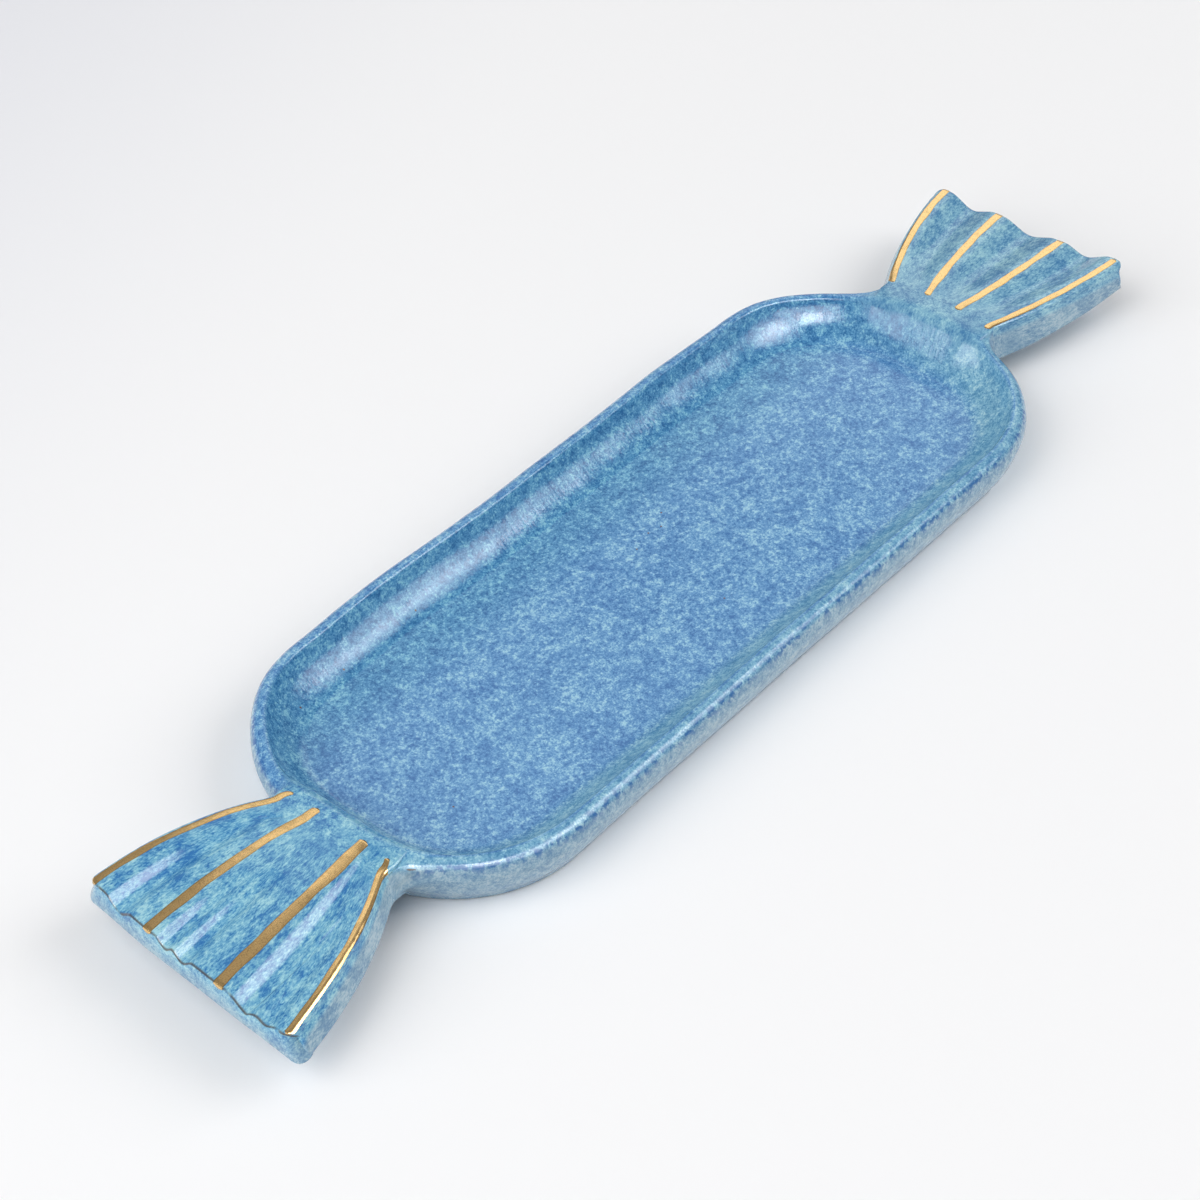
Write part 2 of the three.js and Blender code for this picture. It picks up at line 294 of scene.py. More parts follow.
def side_of(v):
    """Number of the side where a place across lies: 0 for +Y and 1 for -Y."""
    return 0 if v > 0 else 1


def side_place(tail, t, v):
    """Half width of a tail on the side where v lies."""
    side = side_of(v)
    return flared(tail["neck"][side], tail["ends"][side], t)


def edge_round(t):
    return lerp(*EDGE_ROUND, smoothstep(t, 0.0, 1.0))


def ridge_places(tail, t):
    """Places across a tail of its four ridges, +Y first."""
    first, last = (
        side_place(tail, t, sign) - lerp(neck_margin, end_margin, clamp(t))
        for sign, neck_margin, end_margin in zip((1, -1), tail["neck_margins"], tail["end_margins"])
    )
    inner = [flared(a, b, t) for a, b in zip(tail["neck_ridges"], tail["end_ridges"])]
    return [first, *inner, -last]


def bay_at(places, v):
    """The bay between two ridges that holds a place, and the share of the way over it."""
    bay = 0
    while bay < len(places) - 2 and v < places[bay + 1]:
        bay += 1
    return bay, clamp((places[bay] - v) / (places[bay] - places[bay + 1]))


def pressed(across):
    """Share of a dent's depth at a share of its half width: round at foot and lip, straight between."""
    if across < DENT_BEND:
        drop = across * across / (2 * DENT_BEND)
    elif across < 1 - DENT_BEND:
        drop = across - DENT_BEND / 2
    else:
        drop = 1 - DENT_BEND - (1 - across) ** 2 / (2 * DENT_BEND)
    return 1 - drop / (1 - DENT_BEND)


def valley(tail, t, bay, share):
    """Depth of the pressed valley of a bay: the sum of its dents and folds."""
    total = 0.0
    for depth, centre, half_width, start in tail["dents"][bay]:
        across = clamp(abs(share - centre) / half_width)
        total += depth * math.sqrt(smoothstep(t, start, 1.0)) * pressed(across)
    return total + folded(tail, t, bay, share)


def folded(tail, t, bay, share):
    """Depth of the narrow folds of a bay, which fade in and out along their way."""
    total = 0.0
    for depth, half_width, (first_t, first_share), (last_t, last_share) in tail["folds"][bay]:
        way = (t - first_t) / (last_t - first_t)
        across = clamp(abs(share - lerp(first_share, last_share, way)) / half_width)
        total += depth * math.sin(math.pi * clamp(way)) * math.cos(math.pi / 2 * across) ** 2
    return total


def neck_top(v):
    """Height of a neck's top at a place across from its centre: it falls away towards +Y."""
    share = clamp(v / TAILS["right"]["neck"][0])
    return NECK_HEIGHT - NECK_SLOPE * share * share


def top_point(tail, t, v):
    """A point of a tail's top, with the tail laid along +X."""
    along = clamp(t)
    bay, share = bay_at(ridge_places(tail, t), v)
    length = lerp(tail["lengths"][bay], tail["lengths"][bay + 1], share)
    beyond_side = abs(v) - side_place(tail, t, v)
    corner_share = smoothstep(t * length, length - 2 * TAIL_CORNER_ROUND, length)
    corner_drop = corner_share * rounded_off(beyond_side, TAIL_CORNER_ROUND)
    arch = TAIL_ARCH * (1 - (2 * along - 1) ** 2)
    height = lerp(neck_top(v), TAIL_END_HEIGHT, along) + arch - valley(tail, t, bay, share)
    height -= rounded_off(beyond_side, edge_round(along))
    across = lerp(NECK_OFFSET, TAIL_END_OFFSET, t) + v
    return Vector((JOINT_X + t * length - corner_drop, across, height))


def underside_height(tail, t, v):
    """Height of a tail's underside: hemmed along each side, and pinched up under the valleys."""
    bay, share = bay_at(ridge_places(tail, t), v)
    side = side_place(tail, t, v)
    pinch = tail["pinch"] * valley(tail, t, bay, share)
    middle = lerp(NECK_UNDERSIDE, TAIL_END_HEIGHT - tail["thickness"], t) + pinch
    hem = lerp(NECK_UNDERSIDE, TAIL_END_HEIGHT - HEM_END_THICKNESS, t)
    return lerp(middle, hem, smoothstep(abs(v), side - HEM_WIDTH, side))


def section_places(tail, t):
    """Places across a section from +Y to -Y: a rounded edge, the bays, and the other edge."""
    ridges = ridge_places(tail, t)
    radius = edge_round(t)
    edges = []
    for sign, ridge in ((1, ridges[0]), (-1, ridges[-1])):
        side = side_place(tail, t, sign)
        limit = max(side - radius, abs(ridge) + TINY)
        turns = spread(0.0, math.pi / 2, NECK_EDGE_STEPS)
        edges.append([sign * lerp(limit, side, math.cos(a)) for a in turns])
    bays = [
        place
        for start, end in zip(ridges, ridges[1:])
        for place in spread(start, end, BAY_STEPS)[:-1]
    ]
    return [*edges[0], *bays, ridges[-1], *reversed(edges[1])]


def tail_section(tail, t, inset):
    """One closed section of a tail, pulled in all round by an inset where its end is rounded over."""
    places = section_places(tail, t)
    radius = edge_round(t)
    top, under = [], []
    for v in places:
        side = side_place(tail, t, v)
        point = top_point(tail, t, v)
        point.y -= v / side * inset
        point.z -= inset
        rise = rounded_off(abs(v) - side, radius)
        low = underside_height(tail, t, v) + rise + inset
        top.append(point)
        hem = lerp(HEM_SPREAD, tail["hems"][side_of(v)], t)
        under.append(Vector((point.x, point.y + v / side * hem, low)))
    shares = spread(0.0, 1.0, CREST_STEPS)[1:-1]
    bulge = SIDE_BULGE * smoothstep(t, 0.0, SIDE_BULGE_START)

    def side_face(upper, lower):
        outward = math.copysign(bulge, lower.y - upper.y)
        return [upper.lerp(lower, s) + Vector((0, outward * math.sin(math.pi * s), 0)) for s in shares]

    minus_side = side_face(top[-1], under[-1])
    plus_side = side_face(top[0], under[0])
    return top + minus_side + under[::-1] + plus_side[::-1]


def tail_rings(tail):
    """Sections from the joint face to the end's round, then over the round, each with its share."""
    round_share = TAIL_END_ROUND / min(tail["lengths"])
    rings = [(t, tail_section(tail, t, 0.0)) for t in spread(0.0, 1 - round_share, TAIL_STEPS)]
    for angle in spread(0.0, math.pi / 2, TAIL_END_STEPS)[1:]:
        t = 1 - round_share * (1 - math.sin(angle))
        rings.append((t, tail_section(tail, t, TAIL_END_ROUND * (1 - math.cos(angle)))))
    return rings


# Dish


def fillet_share(outside, fillet):
    """Share of the neck's form beside it: a concave fillet, round in plan."""
    left = 1 - clamp(outside / fillet)
    return 1 - math.sqrt(1 - left * left)


def end_station(tail, y):
    """The dish's outline at an end that lies at +X, with the shares of neck and scoop there."""
    sine = clamp((abs(y) - CORNER_FLAT) / CORNER_RADIUS)
    normal = Vector((math.sqrt(1 - sine * sine), math.copysign(sine, y)))
    v = y - NECK_OFFSET
    side = side_of(v)
    outside = abs(v) - tail["neck"][side]
    return {
        "point": Vector((DISH_HALF_LENGTH - CORNER_RADIUS * (1 - normal.x), y)),
        "normal": normal,
        "v": v,
        "side": tail["neck"][side],
        "neck": fillet_share(outside, tail["fillets"][side]),
        "scoop": 1 - smoothstep(outside, -SCOOP_INSIDE, SCOOP_OUTSIDE),
    }


def side_station(x):
    """A place on a long side of the dish."""
    return {
        "point": Vector((x, DISH_HALF_WIDTH)),
        "normal": Vector((0, 1)),
        "v": DISH_HALF_WIDTH,
        "side": DISH_HALF_WIDTH,
        "neck": 0.0,
        "scoop": 0.0,
    }


def corner_places(inner):
    """Places round one corner, from the long side in to a neck's fillet."""
    inner_angle = math.asin(clamp((abs(inner) - CORNER_FLAT) / CORNER_RADIUS))
    angles = spread(math.pi / 2, inner_angle, CORNER_STEPS)
    return [math.copysign(CORNER_FLAT + CORNER_RADIUS * math.sin(a), inner) for a in angles]


def half_stations(tail):
    """Stations across one end, from -Y to +Y, and along the long side after it."""
    neck = [NECK_OFFSET + v for v in reversed(section_places(tail, 0.0))]
    turns = spread(0.0, math.pi / 2, FILLET_STEPS)
    high_fillet = [neck[-1] + tail["fillets"][0] * (1 - math.cos(a)) for a in turns]
    low_fillet = [neck[0] - tail["fillets"][1] * (1 - math.cos(a)) for a in turns]
    places = [
        *corner_places(low_fillet[-1])[:-1],
        *low_fillet[:0:-1],
        *neck,
        *high_fillet[1:-1],
        *reversed(corner_places(high_fillet[-1])),
    ]
    straight = DISH_HALF_LENGTH - CORNER_RADIUS
    along = spread(straight, -straight, LONG_SIDE_STEPS)[1:-1]
    return [end_station(tail, y) for y in places] + [side_station(x) for x in along]


def cove(top_inset, top_height, lean):
    """The inner wall from an edge, at its lean there, down a long slope to the flat floor."""
    foot_inset = RIM_WIDTH + COVE_RUN
    path = [
        (top_inset, top_height),
        (top_inset + COVE_TOP_PULL * math.sin(lean), top_height - COVE_TOP_PULL * math.cos(lean)),
        (foot_inset - COVE_FOOT_PULL, FLOOR_HEIGHT),
        (foot_inset, FLOOR_HEIGHT),
    ]
    slope = [bezier(path, s) for s in spread(0.0, 1.0, COVE_STEPS)[1:]]
    floor = [(foot_inset + ring, FLOOR_HEIGHT) for ring in FLOOR_RINGS]
    return slope + floor


def foot():
    base = (FOOT_INSET + FOOT_ROUND + BASE_RING, 0.0)
    turn = arc(FOOT_INSET + FOOT_ROUND, FOOT_ROUND, FOOT_ROUND, 1.5 * math.pi, math.pi, FOOT_STEPS)
    return [base, *turn]


def wall_section():
    """Rows (inset, height) of the dish's wall: outside, crest and inside."""
    shoulder = RIM_HEIGHT - RIM_OUTER_DROP
    rise = [
        (lerp(FOOT_INSET, 0.0, s) - WALL_BULGE * math.sin(math.pi * s), lerp(FOOT_ROUND, shoulder, s))
        for s in spread(0.0, 1.0, WALL_STEPS)[1:-1]
    ]
    crest = [
        (RIM_OUTER_RUN * (1 + math.cos(a)), shoulder + RIM_OUTER_DROP * math.sin(a))
        for a in spread(math.pi, math.pi / 2, CREST_STEPS)
    ]
    inner = RIM_WIDTH - RIM_INNER_ROUND
    flat = [(i, RIM_HEIGHT) for i in spread(RIM_OUTER_RUN, inner, SHOULDER_STEPS + 1)[1:-1]]
    edge = arc(inner, RIM_HEIGHT - RIM_INNER_ROUND, RIM_INNER_ROUND, math.pi / 2, COVE_LEAN, EDGE_STEPS)
    return {"outside": foot() + rise, "crest": crest + flat, "inside": edge + cove(*edge[-1], COVE_LEAN)}


def neck_section(station):
    """The same rows through a neck: under it, up the joint face, and in over the crease."""
    drop = rounded_off(abs(station["v"]) - station["side"], edge_round(0.0))
    top = neck_top(station["v"])
    under = NECK_UNDERSIDE + drop
    path = [(FOOT_INSET, FOOT_ROUND), *NECK_WALL_BEND, (-NECK_REACH, under)]
    rise = [bezier(path, s) for s in spread(0.0, 1.0, WALL_STEPS)[1:-1]]
    reach = JOINT_X - DISH_HALF_LENGTH
    joint = [(-reach, z) for z in spread(under, top - drop, CREST_STEPS)]
    flat = [(i, top - drop) for i in spread(-reach, NECK_CREASE_INSET, SHOULDER_STEPS + 1)[1:-1]]
    crease_centre = (NECK_CREASE_INSET, top - NECK_CREASE_ROUND)
    crease = arc(*crease_centre, NECK_CREASE_ROUND, math.pi / 2, NECK_CREASE_END, EDGE_STEPS)
    inside = crease + cove(*crease[-1], NECK_CREASE_END)
    return {"outside": foot() + rise, "crest": joint + flat, "inside": inside}


def on_outline(station, row):
    inset, height = row
    flat = station["point"] - station["normal"] * inset
    return Vector((flat.x, flat.y, height))


def on_joint(station, row, hem):
    """A row of the neck, straight out along X, spread by the hem towards its underside."""
    inset, height = row
    widest = math.copysign(min(abs(station["v"]), station["side"]), station["v"])
    across = station["point"].y + widest / station["side"] * HEM_SPREAD * hem
    return Vector((DISH_HALF_LENGTH - inset, across, height))


def dish_column(station):
    """One column of the dish's skin, from the base over the rim or neck to the floor."""
    wall, neck = wall_section(), neck_section(station)
    column = []
    count = len(wall["outside"])
    for i, (a, b) in enumerate(zip(wall["outside"], neck["outside"])):
        out = (i / count) ** 2
        target = on_outline(station, b).lerp(on_joint(station, b, 1.0), out)
        column.append(on_outline(station, a).lerp(target, station["neck"]))
    for i, (a, b) in enumerate(zip(wall["crest"], neck["crest"])):
        hem = 1 - clamp(i / CREST_STEPS)
        column.append(on_outline(station, a).lerp(on_joint(station, b, hem), station["neck"]))
    for a, b in zip(wall["inside"], neck["inside"]):
        column.append(on_outline(station, a).lerp(on_outline(station, b), station["scoop"]))
    return column


# Meshes


def make_mesh(name, points, faces, sharp_edges, attributes):
    """A smooth mesh in metres, with its sharp edges and its named vertex attributes."""
    mesh = bpy.data.meshes.new(name)
    mesh.from_pydata([hand(p) * MM for p in points], [], faces)
    mesh.update()
    mesh.polygons.foreach_set("use_smooth", [True] * len(mesh.polygons))
    sharp = mesh.attributes.new("sharp_edge", "BOOLEAN", "EDGE")
    wanted = {frozenset(e) for e in sharp_edges}
    sharp.data.foreach_set("value", [frozenset(e.vertices) in wanted for e in mesh.edges])
    for key, (kind, field, values) in attributes.items():
        attribute = mesh.attributes.new(key, kind, "POINT")
        attribute.data.foreach_set(field, [x for value in values for x in value])
    piece = bpy.data.objects.new(name, mesh)
    bpy.context.scene.collection.objects.link(piece)
    return piece


def turned(tail, point):
    """A point laid out for the +X end, turned to the end where the tail is."""
    flip = -1 if tail["turn"] else 1
    return Vector((flip * point.x, flip * point.y, point.z))


def ring_faces(first, second, count):
    """Quads between two closed rings of vertices."""
    return [
        (first + i, first + (i + 1) % count, second + (i + 1) % count, second + i) for i in range(count)
    ]


def tube_faces(rings, count):
    """Quads between closed rings of vertices, and a cap on the first ring."""
    faces = [f for r in range(rings - 1) for f in ring_faces(r * count, (r + 1) * count, count)]
    return [*faces, tuple(reversed(range(count)))]


def end_cap(rings, count):
    """One face over the last ring."""
    return tuple((rings - 1) * count + i for i in range(count))


def glaze_marks(zones, flows):
    """The vertex attributes that the glaze reads."""
    return {"zone": ("FLOAT_COLOR", "color", zones), "flow": ("FLOAT_VECTOR", "vector", flows)}


def outside_weight(top, height):
    """How far a point belongs to the outer faces, by its drop below the top."""
    return smoothstep(top - height, *OUTSIDE_DROP)


def dish_marks():
    """Numbers of the rows where parts of the dish's section start or end."""
    section = wall_section()
    crest = len(section["outside"])
    inside = crest + len(section["crest"])
    return {
        "crest": crest,
        "joint_top": crest + CREST_STEPS,
        "inside": inside,
        "edge": inside + EDGE_STEPS,
        "cove_end": inside + len(section["inside"]) - len(FLOOR_RINGS),
    }


def rim_zone(station, point, row, marks):
    """Weights of the glaze's zones outside and on top: painted sheen on the -Y rim, shoulder, outer and
    tail.
    """
    top = lerp(RIM_HEIGHT, neck_top(station["v"]), station["neck"])
    mid_crest = marks["crest"] + CREST_STEPS / 2
    shoulder = clamp(1 - abs(row - mid_crest) / SHOULDER_ROWS) * (1 - station["neck"])
    # Painted sheen: share of the paler wall blues on the -Y rim
    pale = RIM_SHEEN * smoothstep(-point.y, 0.0, RIM_SHEEN_START)
    return (pale, shoulder, outside_weight(top, point.z), station["neck"])


def wall_share(row, marks):
    """Share of the inner wall, which sets in over its top edge and fades down the cove."""
    cove_left = 1 - smoothstep(row, marks["cove_end"] - COVE_STEPS / 2, marks["cove_end"])
    return smoothstep(row, marks["inside"], marks["edge"]) * cove_left


def crease_share(row, marks):
    """Share of the crease at the top of the inner wall."""
    return 1 - smoothstep(row, marks["edge"] - EDGE_STEPS / 2, marks["edge"] + EDGE_STEPS)


def joint_edges(stations, marks):
    """Sharp edges round the joint face of each neck."""
    count = len(stations)
    limits = (marks["crest"], marks["joint_top"])
    sharp = []
    for i, station in enumerate(stations):
        if station["neck"] <= FULL_NECK:
            continue
        after = (i + 1) % count
        if stations[after]["neck"] > FULL_NECK:
            sharp += [(r * count + i, r * count + after) for r in limits]
        if abs(abs(station["v"]) - station["side"]) < TINY:
            sharp += [(r * count + i, (r + 1) * count + i) for r in range(*limits)]
    return sharp


def make_dish(name):
    stations, ends = [], []
    for tail in TAILS.values():
        half = half_stations(tail)
        stations += half
        ends += [tail] * len(half)
    columns = [dish_column(s) for s in stations]
    rows = len(columns[0])
    count = len(columns)
    marks = dish_marks()
    points, zones, flows = [], [], []
    for row in range(rows):
        for station, column, tail in zip(stations, columns, ends):
            point = turned(tail, column[row])
            points.append(point)
            down = sum((column[i + 1] - column[i]).length for i in range(row))
            flat = turned(tail, Vector((*station["point"], 0.0)))
            flows.append((flat.x, flat.y, down * FLOW_STRETCH))
            if row < marks["inside"]:
                zones.append(rim_zone(station, point, row, marks))
            else:
                wall = wall_share(row, marks)
                point.z += COVE_SWELL * wall * noise.noise(point / COVE_SWELL_LENGTH)
                zones.append((wall, 0.0, 0.0, station["scoop"] * crease_share(row, marks)))
    faces = [*tube_faces(rows, count), end_cap(rows, count)]
    return make_mesh(name, points, faces, joint_edges(stations, marks), glaze_marks(zones, flows))


def make_tail(name, tail):
    rings = tail_rings(tail)
    count = len(rings[0][1])
    top_count = len(section_places(tail, 0.0))
    points, zones, flows = [], [], []
    for t, ring in rings:
        for i, point in enumerate(ring):
            points.append(turned(tail, point))
            nearest_top = ring[min(i, top_count - 1)] if i < top_count + CREST_STEPS else ring[0]
            outer = outside_weight(nearest_top.z, point.z) if i >= top_count else 0.0
            across = (point.y - NECK_OFFSET) / side_place(tail, t, 1.0)
            flows.append((points[-1].x * FLOW_STRETCH, across * tail["ends"][0], point.z))
            edge = 0.0
            if i < top_count:
                edge = smoothstep(t, 1 - EDGE_BREAK, 1 - EDGE_BREAK_FULL)
                edge *= 1 - smoothstep(t, 1 - EDGE_BREAK_FADE, 1.0)
            zones.append((smoothstep(t, 0.0, TAIL_BLEND), edge, outer, 1.0))
    faces = tube_faces(len(rings), count)
    last = (len(rings) - 1) * count
    under_start = top_count + CREST_STEPS - 1
    pairs = [(i, under_start + top_count - 1 - i) for i in range(top_count)]
    faces += [(last + a, last + c, last + d, last + b) for (a, b), (c, d) in zip(pairs, pairs[1:])]
    minus = range(top_count - 1, under_start + 1)
    plus = [*range(under_start + top_count - 1, count), 0]
    faces += [tuple(last + i for i in minus), tuple(last + i for i in plus)]
    sharp = [(i, (i + 1) % count) for i in range(count)]
    return make_mesh(name, points, faces, sharp, glaze_marks(zones, flows))


def line_point(tail, length, run, v):
    """A point of a tail's skin at a run along one ridge, which goes on over the end's round and down."""
    round_start = length - TAIL_END_ROUND
    top = top_point(tail, min(run, round_start) / length, v)
    over = clamp((run - round_start) / TAIL_END_ROUND, 0.0, math.pi / 2)
    below = max(0.0, run - round_start - TAIL_END_ROUND * math.pi / 2)
    top.x += TAIL_END_ROUND * math.sin(over)
    top.z -= TAIL_END_ROUND * (1 - math.cos(over)) + below
    return top


def line_normal(tail, length, run, v, at):
    """The way out of a tail's skin at a place on a line."""
    ahead = line_point(tail, length, run + PROBE_AHEAD, v) - at
    beside = line_point(tail, length, run, v - PROBE_BESIDE) - at
    normal = beside.cross(ahead).normalized()
    if normal.z < 0 and run < length - TAIL_END_ROUND:
        normal.negate()
    return normal


def make_line(name, tail, ridge):
    """A brushed line of lustre along one ridge: a flat strip of gold, rooted in the glaze."""
    length = tail["lengths"][ridge]
    start = tail["line_starts"][ridge]
    end = length + tail["line_drips"][ridge]
    seed = Vector((ridge * RIDGE_SHIFT, tail["turn"] * TAIL_SHIFT, 0.0))
    shares = spread(-1.0, 1.0, LINE_ACROSS)
    count = 2 * (LINE_ACROSS + 1)
    points, marks = [], []
    for run in spread(start, end, LINE_STEPS):
        t = min(run / length, 1.0)
        wave = run / LINE_WOBBLE_LENGTH
        sway = noise.noise(seed + Vector((wave, 0, 0))) * LINE_WOBBLE
        swell = 1 + LINE_WIDTH_SWING * noise.noise(seed + Vector((wave, WIDTH_SHIFT, 0)))
        tip = clamp(min(run - start, end - run) / LINE_TIP)
        half = tail["line_widths"][ridge] / 2 * swell * math.sqrt(1 - (1 - tip) ** 2 * LINE_TIP_ROUND)
        centre = ridge_places(tail, t)[ridge] + sway
        limit = side_place(tail, t, centre) - TINY
        upper, lower = [], []
        for u in shares:
            v = clamp(centre - u * half, -limit, limit)
            at = line_point(tail, length, run, v)
            normal = line_normal(tail, length, run, v, at)
            upper.append(at + normal * (LINE_EDGE + LINE_RISE * (1 - u * u)))
            lower.append(at - normal * LINE_ROOT)
        for at, u in zip(upper + lower[::-1], shares + shares[::-1]):
            points.append(turned(tail, at))
            marks.append((run, u * half, half))
    rings = LINE_STEPS + 1
    faces = [*tube_faces(rings, count), end_cap(rings, count)]
    sharp = [(r * count + i, (r + 1) * count + i) for r in range(rings - 1) for i in (0, LINE_ACROSS)]
    return make_mesh(name, points, faces, sharp, {"brush": ("FLOAT_VECTOR", "vector", marks)})


# Materials

# Places of the colour sockets on a mix node
MIX_COLOURS = (6, 7)
MIX_RESULT = 2


class Shader:
    """The node graph of one material, with a short call for each kind of node."""

    def __init__(self, name):
        self.material = bpy.data.materials.new(name)
        self.material.use_nodes = True
        self.tree = self.material.node_tree
        self.tree.nodes.clear()

    def node(self, kind, inputs, **settings):
        made = self.tree.nodes.new(kind)
        for key, value in settings.items():
            setattr(made, key, value)
        for key, value in inputs.items():
            if isinstance(value, bpy.types.NodeSocket):
                self.tree.links.new(value, made.inputs[key])
            else:
                made.inputs[key].default_value = value
        return made

    def attribute(self, name):
        return self.node("ShaderNodeAttribute", {}, attribute_name=name)

    def math(self, operation, a, b=0.0, c=0.0):
        return self.node("ShaderNodeMath", {0: a, 1: b, 2: c}, operation=operation).outputs[0]

    def remap(self, value, low, high, to_low=0.0, to_high=1.0):
        inputs = {"Value": value, "From Min": low, "From Max": high, "To Min": to_low, "To Max": to_high}
        return self.node("ShaderNodeMapRange", inputs, interpolation_type="SMOOTHSTEP").outputs[0]

    def noise(self, vector, size, detail=4.0, rough=0.55, warp=0.0):
        """Noise whose blotches are about size millimetres across, for a vector in millimetres."""
        inputs = {"Vector": vector, "Scale": 1 / size}
        inputs |= {"Detail": detail, "Roughness": rough, "Distortion": warp}
        return self.node("ShaderNodeTexNoise", inputs).outputs["Fac"]

    def vector(self, operation, a, b, result="Vector"):
        inputs = {0: a, 1: b}
        return self.node("ShaderNodeVectorMath", inputs, operation=operation).outputs[result]

    def blend(self, share, a, b):
        """A value between two values."""
        inputs = {"Factor": share, "A": a, "B": b}
        return self.node("ShaderNodeMix", inputs, data_type="FLOAT").outputs[0]

    def tint(self, share, a, b):
        """A colour between two colours."""
        made = self.node("ShaderNodeMix", {"Factor": share}, data_type="RGBA")
        for place, value in zip(MIX_COLOURS, (a, b)):
            socket = made.inputs[place]
            if isinstance(value, bpy.types.NodeSocket):
                self.tree.links.new(value, socket)
            else:
                socket.default_value = (*value, 1.0)
        return made.outputs[MIX_RESULT]

    def ramp(self, share, stops):
        """A colour from a row of (place, colour) stops."""
        made = self.node("ShaderNodeValToRGB", {"Fac": share})
        elements = made.color_ramp.elements
        while len(elements) < len(stops):
            elements.new(stops[-1][0])
        for element, (place, colour) in zip(elements, stops):
            element.position = place
            element.color = (*colour, 1.0)
        return made.outputs["Color"]

    def bump(self, height, strength, depth):
        """A normal tilted by a relief of a depth in metres."""
        inputs = {"Strength": strength, "Distance": depth, "Height": height}
        return self.node("ShaderNodeBump", inputs).outputs[0]

    def finish(self, shader):
        self.node("ShaderNodeOutputMaterial", {"Surface": shader.outputs[0]})
        return self.material


# The curve from a screen's levels to linear light
LEVELS = 255
CURVE_KNEE = 0.04045
CURVE_SLOPE = 12.92
CURVE_OFFSET = 0.055
CURVE_POWER = 2.4


def srgb(*levels):
    """A colour written as it looks on screen, 0 to 255, as the linear values that shaders take."""
    shares = [level / LEVELS for level in levels]
    return tuple(
        c / CURVE_SLOPE if c <= CURVE_KNEE else ((c + CURVE_OFFSET) / (1 + CURVE_OFFSET)) ** CURVE_POWER
        for c in shares
    )


# Places in millimetres between which one glaze colour gives way to another: darker towards the foot of the
# +Y wall, painted sheen towards -Y, and painted shade on the far tail
LEFT_DARK_SPAN = (14.0, 40.0)
SHEEN_SPAN = (24.0, -24.0)
FAR_SPAN = (-60.0, 60.0)

# Colours of the glaze by its mottle, from dark to pale, and of what shows through it or lies on it
FLOOR_STOPS = (
    (0.0, srgb(58, 112, 172)),
    (0.25, srgb(78, 134, 189)),
    (0.5, srgb(97, 152, 201)),
    (0.75, srgb(120, 173, 212)),
    (1.0, srgb(162, 207, 226)),
)
WALL_STOPS = (
    (0.0, srgb(40, 102, 154)),
    (0.25, srgb(60, 124, 174)),
    (0.5, srgb(79, 143, 188)),
    (0.75, srgb(98, 162, 200)),
    (1.0, srgb(138, 196, 216)),
)
# Painted sheen: paler blues for the inner wall and rim towards -Y, standing in for the glaze's reflection
# at a grazing view
SHEEN_WALL_STOPS = (
    (0.0, srgb(78, 136, 176)),
    (0.25, srgb(100, 157, 191)),
    (0.5, srgb(120, 174, 202)),
    (0.75, srgb(140, 190, 212)),
    (1.0, srgb(172, 212, 222)),
)
TAIL_STOPS = (
    (0.0, srgb(50, 116, 178)),
    (0.25, srgb(80, 147, 193)),
    (0.5, srgb(108, 170, 204)),
    (0.75, srgb(132, 190, 213)),
    (1.0, srgb(164, 212, 224)),
)
# Painted shade: a duller, greyer copy of the tail blues for the far tail, which gets less light
SHADED_FAR_TAIL_STOPS = (
    (0.0, srgb(66, 124, 172)),
    (0.25, srgb(92, 148, 186)),
    (0.5, srgb(114, 167, 197)),
    (0.75, srgb(134, 184, 207)),
    (1.0, srgb(160, 206, 218)),
)
# Painted reflection: paler, greyer blues on the outer faces, standing in for the pale floor mirrored in
# the glaze
OUTER_SHEEN_STOPS = (
    (0.0, srgb(100, 142, 176)),
    (0.5, srgb(138, 172, 194)),
    (1.0, srgb(172, 198, 210)),
)
SHOULDER_BLUE = srgb(44, 100, 164)
BREAK_BROWN = srgb(70, 52, 40)
SPECK_BROWN = srgb(104, 74, 52)
CLAY = srgb(206, 196, 180)
GOLD = srgb(249, 209, 144)
GOLD_THIN = srgb(128, 84, 40)

# Iron specks by their places in plan
SPECKS = ((-113, 42), (-93, 44), (-61, 45), (-112, -16), (4, -21), (12, 15), (17, 14), (22, 18), (4, 13))
SPECK_RADIUS = 0.45
IN_PLAN = (1.0, 1.0, 0.0)

# Hair lines where the glaze breaks, from place to place
BREAKS = (
    ((-144.7, -27.4, 17.8), (-142.0, -31.0, 17.6)),
    ((-141.0, -32.0, 17.4), (-136.5, -38.0, 17.2)),
    ((-142.4, 25.5, 18.9), (-143.5, 20.5, 19.1)),
    ((-143.5, 20.5, 19.1), (-145.4, 20.7, 18.2)),
    ((149.5, -17.3, 16.8), (157.0, -19.6, 18.5)),
    ((157.0, -19.6, 18.5), (165.0, -22.0, 19.6)),
)
BREAK_WANDER = (0.5, 0.5, 0.5)
BREAK_WANDER_NOISE = {"Scale": 1.0, "Detail": 2.0}
BREAK_SPREAD = 0.05
NOISE_MIDDLE = (0.5, 0.5, 0.5)

# The part of its reach within which a speck or a break is full
FULL_PART = 1 / 3

# Noises: the size of their blotches in millimetres, detail, roughness and warp
DISH_FLECK = (1.9, 5.0, 0.72, 0.3)
TAIL_FLECK = (1.5, 5.0, 0.72, 0.3)
DISH_GRAIN = (0.6, 2.0, 0.7)
TAIL_GRAIN = (0.5, 2.0, 0.7)
PATCH = (5.0, 2.0)
BLOTCH = (13.0, 2.0)
DASH = (2.0, 3.0)
WEAR = (7.0, 3.0)
RUN = (1.2, 3.0)
HAIR = (0.28, 3.0)
GOLD_PATCH = (2.2, 3.0)
GOLD_SPECKLE = (0.4, 4.0, 0.7)

